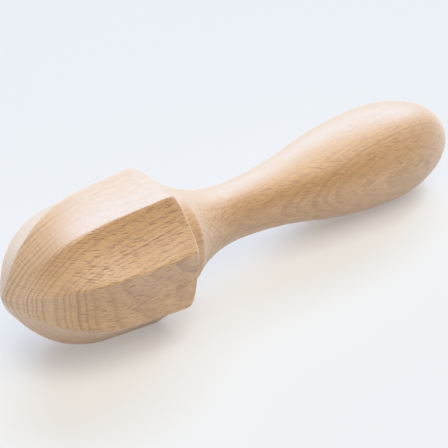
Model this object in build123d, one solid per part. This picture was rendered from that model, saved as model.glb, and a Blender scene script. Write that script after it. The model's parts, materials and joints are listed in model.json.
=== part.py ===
from build123d import *
import math
import os

# A beech citrus reamer in two turned pieces: a fluted head with a blind socket in its back, and a
# handle whose tenon is glued into that socket. Lengths are in millimetres.
#
# Both pieces are drawn about one turning axis along +X, from the head's point at X = 0 to the end of
# the handle, and then laid down together the way the reamer rests on a table: on two neighbouring
# ridges of the head and on the thick part of the grip. The finished frame has +Z up, +X towards the
# end of the handle, and its origin on the table under the middle of the reamer.

# Driving dimensions
TOTAL_LENGTH = 170.0

HEAD_LENGTH = 53.5
RIDGE_COUNT = 8
RIDGE_RADIUS = 23.8         # axis to a ridge at the back of the head
RIDGE_TAPER = 3.2           # degrees by which the ridges still open out behind the dome
DOME_RADIUS = 37.5          # arc of a ridge from the point to its straight part, seen from the side
POINT_RADIUS = 1.2          # the blunt end of the point
FLUTE_RADIUS = 42.0         # hollow of a flute, seen along the axis
BACK_ROUNDING = 4.2         # the back corner of the head

COLLAR_RADIUS = 15.5
COLLAR_LENGTH = 6.4
NECK_RADIUS = 8.6
NECK_AT = 83.0              # distance of the thinnest place from the point
GRIP_RADIUS = 15.25
GRIP_AT = 141.5             # distance of the thickest place from the point

TENON_RADIUS = 8.0
TENON_LENGTH = 22.0
TENON_CHAMFER = 1.0
GLUE_GAP = 0.05             # round the tenon
SOCKET_SPARE = 1.0          # room for glue past the end of the tenon
SOCKET_CHAMFER = 0.5        # at the socket's mouth

# Modelling choices
HEAD_SECTIONS = 14          # of the loft that makes the fluted part
LOFT_OVERRUN = 3.0          # how far the loft goes on behind the head before it is cut off
STEEPEST_REST = 10.0        # degrees, more than the reamer can ever tilt when it lies down
TILT_STEPS = 24             # halvings of that range


def ridge_sections():
    """(distance from the point, ridge radius) of each section of the head, from point to back.

    A ridge is a straight line through the back corner, opening by RIDGE_TAPER, and an arc that
    touches this line and ends at the blunt point. The sections stand evenly along the two.
    """
    taper = math.radians(RIDGE_TAPER)
    along = Vector(math.cos(taper), math.sin(taper))
    outward = Vector(-math.sin(taper), math.cos(taper))
    back = Vector(HEAD_LENGTH, RIDGE_RADIUS)
    point = Vector(0, POINT_RADIUS)

    depth = (back - point).dot(outward) - DOME_RADIUS
    reach = math.sqrt(DOME_RADIUS ** 2 - depth ** 2)
    centre = point + outward * depth + along * reach
    touch = centre + outward * DOME_RADIUS

    point_angle = math.atan2(point.Y - centre.Y, point.X - centre.X)
    arc_length = DOME_RADIUS * (point_angle - taper - math.pi / 2)
    line_length = (back - touch).length + LOFT_OVERRUN

    sections = []
    for number in range(HEAD_SECTIONS):
        travelled = (arc_length + line_length) * number / (HEAD_SECTIONS - 1)
        if travelled < arc_length:
            angle = point_angle - travelled / DOME_RADIUS
            place = centre + Vector(math.cos(angle), math.sin(angle)) * DOME_RADIUS
        else:
            place = touch + along * (travelled - arc_length)
        sections.append((place.X, place.Y))
    return sections


def flute_wire(distance, radius):
    """The head's outline across the axis: one hollow arc from each ridge to the next."""
    pitch = 2 * math.pi / RIDGE_COUNT

    def at(angle, r):
        return Vector(distance, r * math.cos(angle), r * math.sin(angle))

    half_chord = radius * math.sin(pitch / 2)
    hollow = FLUTE_RADIUS - math.sqrt(FLUTE_RADIUS ** 2 - half_chord ** 2)
    floor = radius * math.cos(pitch / 2) - hollow
    arcs = []
    for number in range(RIDGE_COUNT):
        ridge = (number + 0.5) * pitch      # a flute, not a ridge, faces straight down
        arcs.append(ThreePointArc(at(ridge, radius), at(ridge + pitch / 2, floor),
                                  at(ridge + pitch, radius)))
    return Wire(arcs)


def turned(outline):
    """The solid of revolution about the X axis of a closed outline in the XY plane."""
    return revolve(make_face(outline), Axis.X)


def make_head():
    fluted = Solid.make_loft([flute_wire(*section) for section in ridge_sections()])

    corner = (HEAD_LENGTH - BACK_ROUNDING, RIDGE_RADIUS)
    back = (HEAD_LENGTH, RIDGE_RADIUS - BACK_ROUNDING)
    blank = Polyline(back, (HEAD_LENGTH, 0), (-1, 0), (-1, RIDGE_RADIUS), corner)
    blank += RadiusArc(corner, back, BACK_ROUNDING)

    socket_radius = TENON_RADIUS + GLUE_GAP
    socket_end = HEAD_LENGTH - TENON_LENGTH - SOCKET_SPARE
    socket = Polyline((socket_end, 0),
                      (socket_end, socket_radius),
                      (HEAD_LENGTH - SOCKET_CHAMFER, socket_radius),
                      (HEAD_LENGTH, socket_radius + SOCKET_CHAMFER),
                      (HEAD_LENGTH + 1, socket_radius + SOCKET_CHAMFER),
                      (HEAD_LENGTH + 1, 0), close=True)

    return (fluted & turned(blank)) - turned(socket)


def make_handle():
    tenon_end = HEAD_LENGTH - TENON_LENGTH
    collar_edge = (HEAD_LENGTH + COLLAR_LENGTH, COLLAR_RADIUS)
    neck = (NECK_AT, NECK_RADIUS)
    grip = (GRIP_AT, GRIP_RADIUS)

    outline = Polyline((TOTAL_LENGTH, 0),
                       (tenon_end, 0),
                       (tenon_end, TENON_RADIUS - TENON_CHAMFER),
                       (tenon_end + TENON_CHAMFER, TENON_RADIUS),
                       (HEAD_LENGTH, TENON_RADIUS),
                       (HEAD_LENGTH, COLLAR_RADIUS),
                       collar_edge)

    # The cove runs from the collar's edge to the neck, where it is level.
    run = neck[0] - collar_edge[0]
    rise = collar_edge[1] - neck[1]
    cove_radius = (run ** 2 + rise ** 2) / (2 * rise)
    outline += RadiusArc(collar_edge, neck, -cove_radius)

    # Two equal arcs, one hollow and one full, lead from the neck to the thickest place of the grip.
    run = grip[0] - neck[0]
    rise = grip[1] - neck[1]
    swell_radius = (run ** 2 + rise ** 2) / (4 * rise)
    middle = ((neck[0] + grip[0]) / 2, (neck[1] + grip[1]) / 2)
    outline += RadiusArc(neck, middle, -swell_radius)
    outline += RadiusArc(middle, grip, swell_radius)

    # The end of the grip is half an ellipsoid.
    outline += EllipticalCenterArc((GRIP_AT, 0), TOTAL_LENGTH - GRIP_AT, GRIP_RADIUS, arc_size=90)
    return turned(outline)


def lowest(piece, tilt):
    return (Rot(0, tilt, 0) * piece).bounding_box().min.Z


def resting_tilt(head, handle):
    """Degrees by which the axis falls towards the handle when both pieces touch the table."""
    level, steep = 0.0, STEEPEST_REST
    for _ in range(TILT_STEPS):
        tilt = (level + steep) / 2
        if lowest(handle, tilt) > lowest(head, tilt):
            level = tilt
        else:
            steep = tilt
    return tilt


head = make_head()
handle = make_handle()

laid = Rot(0, resting_tilt(head, handle), 0)
box = Compound([laid * head, laid * handle]).bounding_box()
place = Pos(-box.center().X, -box.center().Y, -box.min.Z) * laid

os.makedirs("parts", exist_ok=True)
for name, piece in {"fluted_head": head, "handle": handle}.items():
    export_step(place * piece, f"parts/{name}.step")
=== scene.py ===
import json
import math

import bpy
import numpy as np
from mathutils import Matrix, Vector


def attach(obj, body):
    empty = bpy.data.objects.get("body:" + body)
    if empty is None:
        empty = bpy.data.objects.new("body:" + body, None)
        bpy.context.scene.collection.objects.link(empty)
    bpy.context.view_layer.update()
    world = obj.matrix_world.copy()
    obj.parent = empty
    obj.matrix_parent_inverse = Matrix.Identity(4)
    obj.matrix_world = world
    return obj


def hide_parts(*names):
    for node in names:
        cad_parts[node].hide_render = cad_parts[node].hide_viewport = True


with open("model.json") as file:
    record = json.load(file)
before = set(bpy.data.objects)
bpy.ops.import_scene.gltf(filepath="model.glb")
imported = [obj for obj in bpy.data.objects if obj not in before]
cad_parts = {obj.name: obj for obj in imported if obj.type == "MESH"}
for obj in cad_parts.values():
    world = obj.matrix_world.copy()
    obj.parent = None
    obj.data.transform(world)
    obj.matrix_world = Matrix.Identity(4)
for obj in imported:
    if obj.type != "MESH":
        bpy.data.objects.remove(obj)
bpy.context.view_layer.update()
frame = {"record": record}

# A beech citrus reamer: a fluted head and a turned handle, both of solid wood.
#
# The shapes are worked out about the turning axis, in metres: +X runs from the head's point to the
# end of the handle, and -Z is the side that the reamer lies on. One matrix, worked out from the
# collar in the record, then lays each mesh down where its CAD piece is. The wood's grain is worked
# out about the turning axis too, so it runs through both pieces alike.

MM = 0.001

# Head, as in the CAD model
HEAD_LENGTH = 53.5 * MM
RIDGE_COUNT = 8
RIDGE_RADIUS = 23.8 * MM
RIDGE_TAPER = math.radians(3.2)
DOME_RADIUS = 37.5 * MM
POINT_RADIUS = 1.2 * MM
FLUTE_RADIUS = 42.0 * MM
BACK_ROUNDING = 4.2 * MM

# Handle, as in the CAD model
COLLAR_RADIUS = 15.5 * MM
COLLAR_LENGTH = 6.4 * MM
NECK_RADIUS = 8.6 * MM
NECK_AT = 83.0 * MM
GRIP_RADIUS = 15.25 * MM
GRIP_AT = 141.5 * MM
TOTAL_LENGTH = 170.0 * MM
TENON_RADIUS = 8.0 * MM
TENON_LENGTH = 22.0 * MM
TENON_CHAMFER = 1.0 * MM
GLUE_GAP = 0.05 * MM
SOCKET_SPARE = 1.0 * MM
SOCKET_CHAMFER = 0.5 * MM

# Softened by sanding, which the CAD model leaves out
RIDGE_EASING = 0.45 * MM        # half width of a ridge's rounding
RIM_EASING = 1.4 * MM           # of the flutes' ends at the back
TIP_ROUNDING = 2.2 * MM         # the ridges fade out where they are less than twice this from the axis
COLLAR_EASING = 0.35 * MM       # of the collar's front edge; its back edge is eased by twice this

# Mesh fineness: steps round the axis, and steps along each part of an outline
STEPS_PER_FLUTE = 44
HANDLE_STEPS = 224
DOME_STEPS = 90
STRAIGHT_STEPS = 24
BACK_CORNER_STEPS = 28
SOCKET_STEPS = 6
TENON_STEPS = 8
SHOULDER_STEPS = 4
COLLAR_STEPS = 12
COLLAR_EDGE_STEPS = 6
COVE_STEPS = 60
SWELL_STEPS = 50
GRIP_END_STEPS = 59
REPEAT_DISTANCE = 1e-6          # metres; points of an outline closer than this are one point


# ---------------------------------------------------------------- where the turning axis lies

def turning_matrix():
    """Takes a shape from the turning axis to where the reamer lies, by the collar in the record."""
    collar = next(m for m in frame["record"]["mounts"] if m["name"] == "collar")
    along = Vector(collar["axis"]).normalized()
    side = Vector((0, 1, 0))
    up = along.cross(side)
    point = Vector(collar["pos_m"]) - along * (HEAD_LENGTH + COLLAR_LENGTH / 2)
    turn = Matrix((along, side, up)).transposed().to_4x4()
    return Matrix.Translation(point) @ turn


LAID_DOWN = turning_matrix()


# ---------------------------------------------------------------- mesh helpers

def add_piece(name, rings, poles, node):
    """A closed piece from rings of equal length, with a point at each end."""
    count = len(rings[0])
    points = np.concatenate([*rings, np.array(poles)])
    faces = []
    for ring_number in range(len(rings) - 1):
        for step in range(count):
            here = ring_number * count + step
            beside = ring_number * count + (step + 1) % count
            faces.append((here, beside, beside + count, here + count))
    first_pole = len(rings) * count
    last_ring = (len(rings) - 1) * count
    for step in range(count):
        beside = (step + 1) % count
        faces.append((first_pole, beside, step))
        faces.append((first_pole + 1, last_ring + step, last_ring + beside))

    mesh = bpy.data.meshes.new(name)
    mesh.from_pydata(points.tolist(), [], faces)
    mesh.validate()
    mesh.transform(LAID_DOWN)
    mesh.shade_smooth()
    piece = bpy.data.objects.new(name, mesh)
    bpy.context.scene.collection.objects.link(piece)
    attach(piece, "root")
    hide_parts(node)
    return piece


def ring(x, radii, angles):
    """Points round the turning axis. The angle 0 faces -Z."""
    return np.stack([np.full(len(angles), x), radii * np.sin(angles), -radii * np.cos(angles)], 1)


def arc(centre, radius, start, end, steps):
    """Points (distance, radius) on an arc, from one angle to another, both in radians."""
    angles = np.linspace(start, end, steps + 1)
    return [(centre[0] + radius * math.cos(a), centre[1] + radius * math.sin(a)) for a in angles]


def line(start, end, steps):
    shares = np.linspace(0, 1, steps + 1)
    return [(start[0] + (end[0] - start[0]) * s, start[1] + (end[1] - start[1]) * s) for s in shares]


def bend(start, corner, end, steps):
    """Points between two others, on a curve that rounds off the corner."""
    points = []
    for share in np.linspace(0, 1, steps + 1)[1:-1]:
        weights = ((1 - share) ** 2, 2 * share * (1 - share), share ** 2)
        points.append(tuple(np.dot(weights, (start, corner, end))))
    return points


def without_repeats(profile):
    kept = [profile[0]]
    for place in profile[1:]:
        if math.dist(place, kept[-1]) > REPEAT_DISTANCE:
            kept.append(place)
    return kept


# ---------------------------------------------------------------- the fluted head

def ridge_curve():
    """Centre of the dome's arc, and where that arc meets the straight part of a ridge."""
    along = np.array((math.cos(RIDGE_TAPER), math.sin(RIDGE_TAPER)))
    outward = np.array((-math.sin(RIDGE_TAPER), math.cos(RIDGE_TAPER)))
    back = np.array((HEAD_LENGTH, RIDGE_RADIUS))
    point = np.array((0, POINT_RADIUS))
    depth = (back - point) @ outward - DOME_RADIUS
    reach = math.sqrt(DOME_RADIUS ** 2 - depth ** 2)
    centre = point + outward * depth + along * reach
    return centre, centre + outward * DOME_RADIUS


def flute_shape(radius, angles):
    """Distance from the axis to the fluted outline whose ridges have this radius."""
    pitch = 2 * math.pi / RIDGE_COUNT
    from_flute = np.abs((angles + pitch / 2) % pitch - pitch / 2)
    easing = RIDGE_EASING / max(radius, TIP_ROUNDING)
    from_ridge = np.sqrt((pitch / 2 - from_flute) ** 2 + easing ** 2)
    angle = pitch / 2 - from_ridge

    half_chord = radius * math.sin(pitch / 2)
    hollow = FLUTE_RADIUS - math.sqrt(FLUTE_RADIUS ** 2 - half_chord ** 2)
    centre = radius * math.cos(pitch / 2) - hollow + FLUTE_RADIUS
    return centre * np.cos(angle) - np.sqrt(FLUTE_RADIUS ** 2 - (centre * np.sin(angle)) ** 2)


def soft_lower(first, second, width):
    """The lower of the two, with a rounded change from one to the other."""
    gap = first - second
    return (first + second - np.sqrt(gap ** 2 + width ** 2)) / 2


def head_angles():
    """Angles about the axis, closer together near the ridges. A flute faces -Z."""
    pitch = 2 * math.pi / RIDGE_COUNT
    shares = np.linspace(-1, 1, STEPS_PER_FLUTE, endpoint=False)
    within = (shares * 1.5 - shares ** 3 * 0.5) * pitch / 2
    return np.concatenate([number * pitch + within for number in range(RIDGE_COUNT)])


def head_stations():
    """(distance, ridge radius, limit at the back corner, easing of that limit) of each outer ring."""
    centre, touch = ridge_curve()
    point_angle = math.atan2(POINT_RADIUS - centre[1], -centre[0]) % (2 * math.pi)
    corner = HEAD_LENGTH - BACK_ROUNDING
    straight_end = (corner, touch[1] + (corner - touch[0]) * math.tan(RIDGE_TAPER))
    ridge = arc(centre, DOME_RADIUS, point_angle, math.pi / 2 + RIDGE_TAPER, DOME_STEPS)[1:]
    ridge += line(touch, straight_end, STRAIGHT_STEPS)[1:]
    stations = [(x, r, None, 0.0) for x, r in ridge]

    limit_centre = (corner, RIDGE_RADIUS - BACK_ROUNDING)
    for x, limit in arc(limit_centre, BACK_ROUNDING, math.pi / 2, 0, BACK_CORNER_STEPS)[1:]:
        r = touch[1] + (x - touch[0]) * math.tan(RIDGE_TAPER)
        easing = RIM_EASING * math.sqrt((x - corner) / BACK_ROUNDING)
        stations.append((x, r, limit, easing))
    return stations


def make_head():
    angles = head_angles()
    rings = []
    for x, ridge, limit, easing in head_stations():
        radii = flute_shape(ridge, angles)
        if limit:
            radii = soft_lower(radii, limit, easing)
        roundness = max(0.0, 1 - ridge / (2 * TIP_ROUNDING)) ** 0.5
        radii = radii * (1 - roundness) + radii.mean() * roundness
        rings.append(ring(x, radii, angles))

    # Flat back, chamfered mouth, wall and floor of the socket
    edge = np.linalg.norm(rings[-1][:, 1:], axis=1)
    socket = TENON_RADIUS + GLUE_GAP
    floor_at = HEAD_LENGTH - TENON_LENGTH - SOCKET_SPARE
    for share in (0.15, 0.35, 0.6, 0.8, 1.0):
        rings.append(ring(HEAD_LENGTH, edge + (socket + SOCKET_CHAMFER - edge) * share, angles))
    for x, r in line((HEAD_LENGTH - SOCKET_CHAMFER, socket), (floor_at, socket), SOCKET_STEPS):
        rings.append(ring(x, r, angles))
    for share in (0.6, 0.25):
        rings.append(ring(floor_at, socket * share, angles))

    return add_piece("head", rings, [(0, 0, 0), (floor_at, 0, 0)], "fluted_head")


# ---------------------------------------------------------------- the handle

def tenon_profile():
    end = HEAD_LENGTH - TENON_LENGTH
    profile = line((end, TENON_RADIUS * 0.3), (end, TENON_RADIUS - TENON_CHAMFER), 3)
    return profile + line((end + TENON_CHAMFER, TENON_RADIUS), (HEAD_LENGTH, TENON_RADIUS), TENON_STEPS)


def collar_profile():
    """The collar and the cove behind it, as far as the neck."""
    front_edge = COLLAR_RADIUS - COLLAR_EASING
    profile = line((HEAD_LENGTH, TENON_RADIUS), (HEAD_LENGTH, front_edge), SHOULDER_STEPS)
    profile += arc((HEAD_LENGTH + COLLAR_EASING, front_edge), COLLAR_EASING,
                   math.pi, math.pi / 2, SHOULDER_STEPS)

    # The cove's circle passes through the collar's back corner, which is eased
    corner = (HEAD_LENGTH + COLLAR_LENGTH, COLLAR_RADIUS)
    run = NECK_AT - corner[0]
    rise = COLLAR_RADIUS - NECK_RADIUS
    cove_radius = (run ** 2 + rise ** 2) / (2 * rise)
    easing = 2 * COLLAR_EASING
    start = math.atan2(rise - cove_radius, -run) + easing / cove_radius
    cove = arc((NECK_AT, NECK_RADIUS + cove_radius), cove_radius, start, -math.pi / 2, COVE_STEPS)
    ease_from = (corner[0] - easing, COLLAR_RADIUS)
    profile += line((HEAD_LENGTH + easing, COLLAR_RADIUS), ease_from, COLLAR_STEPS)
    profile += bend(ease_from, corner, cove[0], COLLAR_EDGE_STEPS)
    return profile + cove


def grip_profile():
    """Two equal arcs from the neck to the thickest place, and half an ellipsoid at the end."""
    run = GRIP_AT - NECK_AT
    rise = GRIP_RADIUS - NECK_RADIUS
    swell = (run ** 2 + rise ** 2) / (4 * rise)
    turn = math.asin(run / 2 / swell)
    down, up = -math.pi / 2, math.pi / 2
    profile = arc((NECK_AT, NECK_RADIUS + swell), swell, down, down + turn, SWELL_STEPS)
    profile += arc((GRIP_AT, GRIP_RADIUS - swell), swell, up + turn, up, SWELL_STEPS)
    for angle in np.linspace(0, math.pi / 2, GRIP_END_STEPS + 1)[1:-1]:
        profile.append((GRIP_AT + (TOTAL_LENGTH - GRIP_AT) * math.sin(angle),
                        GRIP_RADIUS * math.cos(angle)))
    return profile


def make_handle():
    angles = np.linspace(0, 2 * math.pi, HANDLE_STEPS, endpoint=False)
    profile = without_repeats(tenon_profile() + collar_profile() + grip_profile())
    rings = [ring(x, r, angles) for x, r in profile]
    poles = [(profile[0][0], 0, 0), (TOTAL_LENGTH, 0, 0)]
    return add_piece("turned_handle", rings, poles, "handle")


# ---------------------------------------------------------------- beech

class Nodes:
    """Short calls for building a material's nodes."""

    def __init__(self, material):
        material.use_nodes = True
        self.tree = material.node_tree
        self.shader = self.tree.nodes["Principled BSDF"]

    def put(self, socket, value):
        """Gives a socket a constant, or links another node's output to it."""
        if isinstance(value, bpy.types.NodeSocket):
            self.tree.links.new(value, socket)
        else:
            socket.default_value = value

    def new(self, kind, values=(), **settings):
        node = self.tree.nodes.new(kind)
        for name, value in settings.items():
            setattr(node, name, value)
        for key, value in dict(values).items():
            self.put(node.inputs[key], value)
        return node

    def shade(self, values):
        for name, value in values.items():
            self.put(self.shader.inputs[name], value)

    def math(self, operation, *values, clamp=False):
        values = dict(enumerate(values))
        return self.new("ShaderNodeMath", values, operation=operation, use_clamp=clamp).outputs[0]

    def noise(self, place, fineness, detail, roughness=0.5):
        """3-D noise, with a fineness of its own along each axis."""
        scaled = self.new("ShaderNodeVectorMath", {0: place, 1: fineness}, operation="MULTIPLY")
        values = {"Vector": scaled.outputs[0], "Scale": 1.0, "Detail": detail, "Roughness": roughness}
        return self.new("ShaderNodeTexNoise", values, noise_dimensions="3D").outputs["Fac"]

    def noise_along(self, value):
        """Noise that changes with one value only."""
        values = {"W": value, "Scale": 1.0, "Detail": 1.0}
        return self.new("ShaderNodeTexNoise", values, noise_dimensions="1D").outputs["Fac"]

    def step(self, value, low, high, to_low=0.0, to_high=1.0):
        """A smooth change from to_low, where the value is low, to to_high, where it is high."""
        values = {"Value": value, "From Min": low, "From Max": high, "To Min": to_low, "To Max": to_high}
        node = self.new("ShaderNodeMapRange", values, interpolation_type="SMOOTHSTEP")
        return node.outputs["Result"]

    def blend(self, amount, first, second):
        colours = {0: amount, 6: first, 7: second}
        return self.new("ShaderNodeMix", colours, data_type="RGBA", blend_type="MIX").outputs[2]


def srgb(red, green, blue):
    """A colour given as it looks on a screen, 0 to 255, as linear light."""
    levels = [level / 255 for level in (red, green, blue)]
    return tuple(v / 12.92 if v <= 0.04045 else ((v + 0.055) / 1.055) ** 2.4 for v in levels) + (1.0,)


PLAIN_WOOD = srgb(196, 154, 107)
DEEPER_PATCH = srgb(188, 143, 94)
# Painted sheen: a pale colour laid on faces cut across the grain, in place of the sheen that light puts
# there
END_GRAIN_PAINTED_SHEEN = srgb(222, 199, 172)
LATE_WOOD = srgb(152, 106, 67)
DARK_FIBRE = srgb(154, 110, 72)
PALE_FIBRE = srgb(214, 187, 156)
RAY = srgb(122, 76, 42)

# Lengths inside the wood are in mm
PITH_TURN = math.radians(-86)   # the turn about X that brings the tree's middle, near -Y, to +Z
PITH_DISTANCE = 75.0            # of the tree's middle from the turning axis
GRAIN_SLOPE = 0.05              # how far a ring moves out for each mm towards the handle
RING_WIDTH = 1.35
RING_WAVE = 1.2                 # how far a ring wanders from a true circle
RING_UNEVENNESS = 0.6           # in years
RAY_LAYERS = ((6.2, 0.60, 0.0), (4.6, 0.47, 31.7))      # length, spacing, and shift of the pattern
RAY_WANDER = 1.2                # sideways, in spacings
BUMP_HEIGHT = 0.055


def grain_place(n, coordinates):
    """A point's place in mm about the turning axis, turned so that the tree's middle is up."""
    lying = {"Vector": coordinates.outputs["Object"], "Location": LAID_DOWN.to_translation(),
             "Rotation": LAID_DOWN.to_euler(), "Scale": (MM, MM, MM)}
    place = n.new("ShaderNodeMapping", lying, vector_type="TEXTURE").outputs[0]
    turn = {"Vector": place, "Angle": PITH_TURN}
    return n.new("ShaderNodeVectorRotate", turn, rotation_type="X_AXIS").outputs[0]


def surface_direction(n, coordinates):
    """The way a surface faces, about the turning axis."""
    lying = {"Vector": coordinates.outputs["Normal"], "Rotation": LAID_DOWN.to_euler()}
    outward = n.new("ShaderNodeMapping", lying, vector_type="TEXTURE").outputs[0]
    return n.new("ShaderNodeSeparateXYZ", {0: outward})


def growth_rings(n, place, along, sideways, depth):
    """Rings round the tree's middle, a little wavy and uneven in width. Late wood is 1."""
    square = n.math("ADD", n.math("MULTIPLY", depth, depth), n.math("MULTIPLY", sideways, sideways))
    radius = n.math("SUBTRACT", n.math("SQRT", square), n.math("MULTIPLY", along, GRAIN_SLOPE))
    wave = n.noise(place, (0.012, 0.06, 0.03), 2.0)
    radius = n.math("ADD", radius, n.step(wave, 0, 1, -RING_WAVE, RING_WAVE))
    change = n.step(n.noise_along(n.math("MULTIPLY", radius, 0.22)), 0, 1, -RING_UNEVENNESS, RING_UNEVENNESS)
    years = n.math("ADD", n.math("DIVIDE", radius, RING_WIDTH), change)

    season = n.math("FRACT", years)
    late = n.math("MULTIPLY", n.step(season, 0.4, 0.92), n.step(season, 1.0, 0.95))
    year = n.new("ShaderNodeTexWhiteNoise", {"W": n.math("FLOOR", years)}, noise_dimensions="1D")
    return n.math("MULTIPLY", late, n.step(year.outputs["Value"], 0, 1, 0.45, 1.0))


def ray_dashes(n, along, round_pith, drift):
    """Rays: thin plates that stand away from the tree's middle, a few mm long along the grain."""
    layers = []
    for length, spacing, shift in RAY_LAYERS:
        wander = n.step(drift, 0, 1, -RAY_WANDER, RAY_WANDER)
        place = n.new("ShaderNodeCombineXYZ", {
            0: n.math("ADD", n.math("DIVIDE", along, length), shift),
            1: n.math("ADD", n.math("DIVIDE", round_pith, spacing), wander)})
        values = {"Vector": place.outputs[0], "Scale": 1.0, "Randomness": 1.0}
        cell = n.new("ShaderNodeTexVoronoi", values, voronoi_dimensions="2D")
        chance = n.new("ShaderNodeSeparateColor", {0: cell.outputs["Color"]})
        width = n.step(chance.outputs[0], 0, 1, 0.15, 0.34)
        inside = n.math("SUBTRACT", 1.0, n.math("DIVIDE", cell.outputs["Distance"], width), clamp=True)
        darkness = n.step(chance.outputs[1], 0, 1, 0.3, 1.0)
        layers.append(n.math("MULTIPLY", n.step(inside, 0, 0.5), darkness))
    return n.math("MAXIMUM", *layers)


def end_grain_lines(n, round_pith, drift):
    """Where the wood is cut across the grain, its rays show as fine lines."""
    across = n.math("ADD", n.math("MULTIPLY", round_pith, 2.8), n.step(drift, 0, 1, -0.6, 0.6))
    return n.step(n.noise_along(across), 0.42, 0.7, 0.0, 0.4)


def beech(name, ring_strength, ray_strength):
    """Solid, unfinished beech. The strengths say how dark its rings and rays are, 0 to 1."""
    material = bpy.data.materials.new(name)
    n = Nodes(material)
    coordinates = n.new("ShaderNodeTexCoord")
    place = grain_place(n, coordinates)
    split = n.new("ShaderNodeSeparateXYZ", {0: place})
    along, sideways = split.outputs["X"], split.outputs["Y"]
    depth = n.math("SUBTRACT", PITH_DISTANCE, split.outputs["Z"])
    late = growth_rings(n, place, along, sideways, depth)

    # Dashes fade where the surface lies along the plates, and turn to lines on end grain
    facing = surface_direction(n, coordinates)
    edge_on = n.step(n.math("ABSOLUTE", facing.outputs["Z"]), 0.98, 0.72)
    slant = n.math("ABSOLUTE", facing.outputs["X"])
    end_grain = n.step(slant, 0.3, 0.8)
    round_pith = n.math("MULTIPLY", n.math("DIVIDE", sideways, depth), PITH_DISTANCE)
    drift = n.noise(place, (0.05, 0.1, 0.1), 1.0)
    dashes = n.math("MULTIPLY", ray_dashes(n, along, round_pith, drift), edge_on)
    dashes = n.math("MULTIPLY", dashes, n.math("SUBTRACT", 1.0, end_grain))
    ray = n.math("MAXIMUM", dashes, n.math("MULTIPLY", end_grain_lines(n, round_pith, drift), end_grain))

    # Streaks along the grain, coarse and fine, and broad patches
    fibre = n.noise(place, (0.22, 2.6, 2.6), 3.0, 0.6)
    fine = n.noise(place, (0.6, 7.0, 7.0), 1.0)
    patch = n.noise(place, (0.02, 0.07, 0.07), 2.0)

    colour = n.blend(n.step(patch, 0.3, 0.7), PLAIN_WOOD, DEEPER_PATCH)
    # Painted sheen: faces turned along the axis, such as the cove, neck and point, are made paler, standing
    # in for the whitish sheen of the lamp behind
    colour = n.blend(n.step(slant, 0.35, 0.9, 0.0, 0.45), colour, END_GRAIN_PAINTED_SHEEN)
    colour = n.blend(n.math("MULTIPLY", late, ring_strength), colour, LATE_WOOD)
    colour = n.blend(n.step(fibre, 0.42, 0.7, 0.0, 0.32), colour, DARK_FIBRE)
    colour = n.blend(n.step(fine, 0.45, 0.75, 0.0, 0.3), colour, PALE_FIBRE)
    colour = n.blend(n.math("MULTIPLY", ray, ray_strength), colour, RAY)
    rough = n.math("SUBTRACT", n.step(fibre, 0.3, 0.75, 0.36, 0.64), n.step(patch, 0.4, 0.65, 0.0, 0.08))

    height = n.math("SUBTRACT", n.math("MULTIPLY", fine, 0.4), n.math("MULTIPLY", ray, 0.7))
    height = n.math("SUBTRACT", height, n.math("MULTIPLY", fibre, 0.5))
    bump = n.new("ShaderNodeBump", {"Height": height, "Strength": 1.0, "Distance": BUMP_HEIGHT * MM})

    n.shade({"Base Color": colour, "Roughness": rough, "Normal": bump.outputs["Normal"],
             "Specular IOR Level": 1.0, "Sheen Weight": 0.33, "Sheen Roughness": 0.7})
    return material


# ---------------------------------------------------------------- floor, light and camera

FLOOR_REACH = 3.0                   # metres from the middle to each side
FLOOR_COLOUR = (0.48, 0.47, 0.465, 1.0)
FLOOR_GLOW = (1.0, 0.98, 0.96, 1.0)
FLOOR_GLOW_STRENGTH = 0.34
WORLD_STRENGTH = 0.05

# Place and size in metres, power in watts, colour
LIGHTS = {
    "overhead": ((0.0, -0.3, 1.0), (1.0, 1.0), 13.4, (1.0, 0.95, 0.85)),
    "behind": ((1.05, 1.12, 1.05), (2.1, 1.4), 84.0, (0.71, 0.88, 1.10)),
    "left": ((-1.3, -0.1, 0.6), (0.9, 0.9), 4.6, (0.8, 0.92, 1.02)),
}

VIEW_AZIMUTH = math.radians(-43.16)
VIEW_ELEVATION = math.radians(35.55)
VIEW_ROLL = math.radians(3.2)
VIEW_DISTANCE = 0.8247
VIEW_TARGET = Vector((-0.0036, 0.0, 0.0157))
LENS = 226.1                        # mm
SENSOR = 36.0                       # mm


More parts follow.
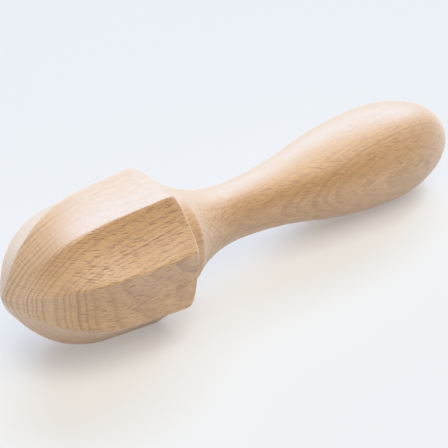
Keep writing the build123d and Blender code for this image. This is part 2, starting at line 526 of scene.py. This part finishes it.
def add_floor():
    mesh = bpy.data.meshes.new("floor")
    corners = [(FLOOR_REACH * x, FLOOR_REACH * y, 0) for x, y in ((-1, -1), (1, -1), (1, 1), (-1, 1))]
    mesh.from_pydata(corners, [], [(0, 1, 2, 3)])
    floor = bpy.data.objects.new("floor", mesh)
    bpy.context.scene.collection.objects.link(floor)
    material = bpy.data.materials.new("floor")
    Nodes(material).shade({"Base Color": FLOOR_COLOUR, "Roughness": 0.9, "Emission Color": FLOOR_GLOW,
                           "Emission Strength": FLOOR_GLOW_STRENGTH})
    mesh.materials.append(material)


def aim(thing, place, target, roll=0.0):
    direction = target - place
    turn = direction.to_track_quat("-Z", "Y").to_matrix().to_4x4()
    thing.matrix_world = Matrix.Translation(place) @ turn @ Matrix.Rotation(roll, 4, "Z")


def add_light(name, place, size, power, colour):
    light = bpy.data.lights.new(name, "AREA")
    light.shape = "RECTANGLE"
    light.size, light.size_y = size
    light.energy = power
    light.color = colour
    lamp = bpy.data.objects.new(name, light)
    bpy.context.scene.collection.objects.link(lamp)
    aim(lamp, Vector(place), Vector((0, 0, 0)))


def add_camera():
    camera = bpy.data.objects.new("camera", bpy.data.cameras.new("camera"))
    camera.data.lens = LENS
    camera.data.sensor_width = SENSOR
    camera.data.clip_start = 0.01
    bpy.context.scene.collection.objects.link(camera)
    back = Vector((math.sin(VIEW_AZIMUTH) * math.cos(VIEW_ELEVATION),
                   -math.cos(VIEW_AZIMUTH) * math.cos(VIEW_ELEVATION),
                   math.sin(VIEW_ELEVATION)))
    aim(camera, VIEW_TARGET + back * VIEW_DISTANCE, VIEW_TARGET, VIEW_ROLL)
    bpy.context.scene.camera = camera


def add_world():
    world = bpy.data.worlds.new("world")
    world.use_nodes = True
    background = world.node_tree.nodes["Background"]
    background.inputs["Color"].default_value = (1, 1, 1, 1)
    background.inputs["Strength"].default_value = WORLD_STRENGTH
    bpy.context.scene.world = world
    bpy.context.scene.view_settings.view_transform = "Khronos PBR Neutral"


# ---------------------------------------------------------------- assembly

head = make_head()
handle = make_handle()
head.data.materials.append(beech("head_beech", ring_strength=0.75, ray_strength=0.65))
handle.data.materials.append(beech("handle_beech", ring_strength=0.55, ray_strength=0.5))
add_floor()
for name, settings in LIGHTS.items():
    add_light(name, *settings)
add_camera()
add_world()
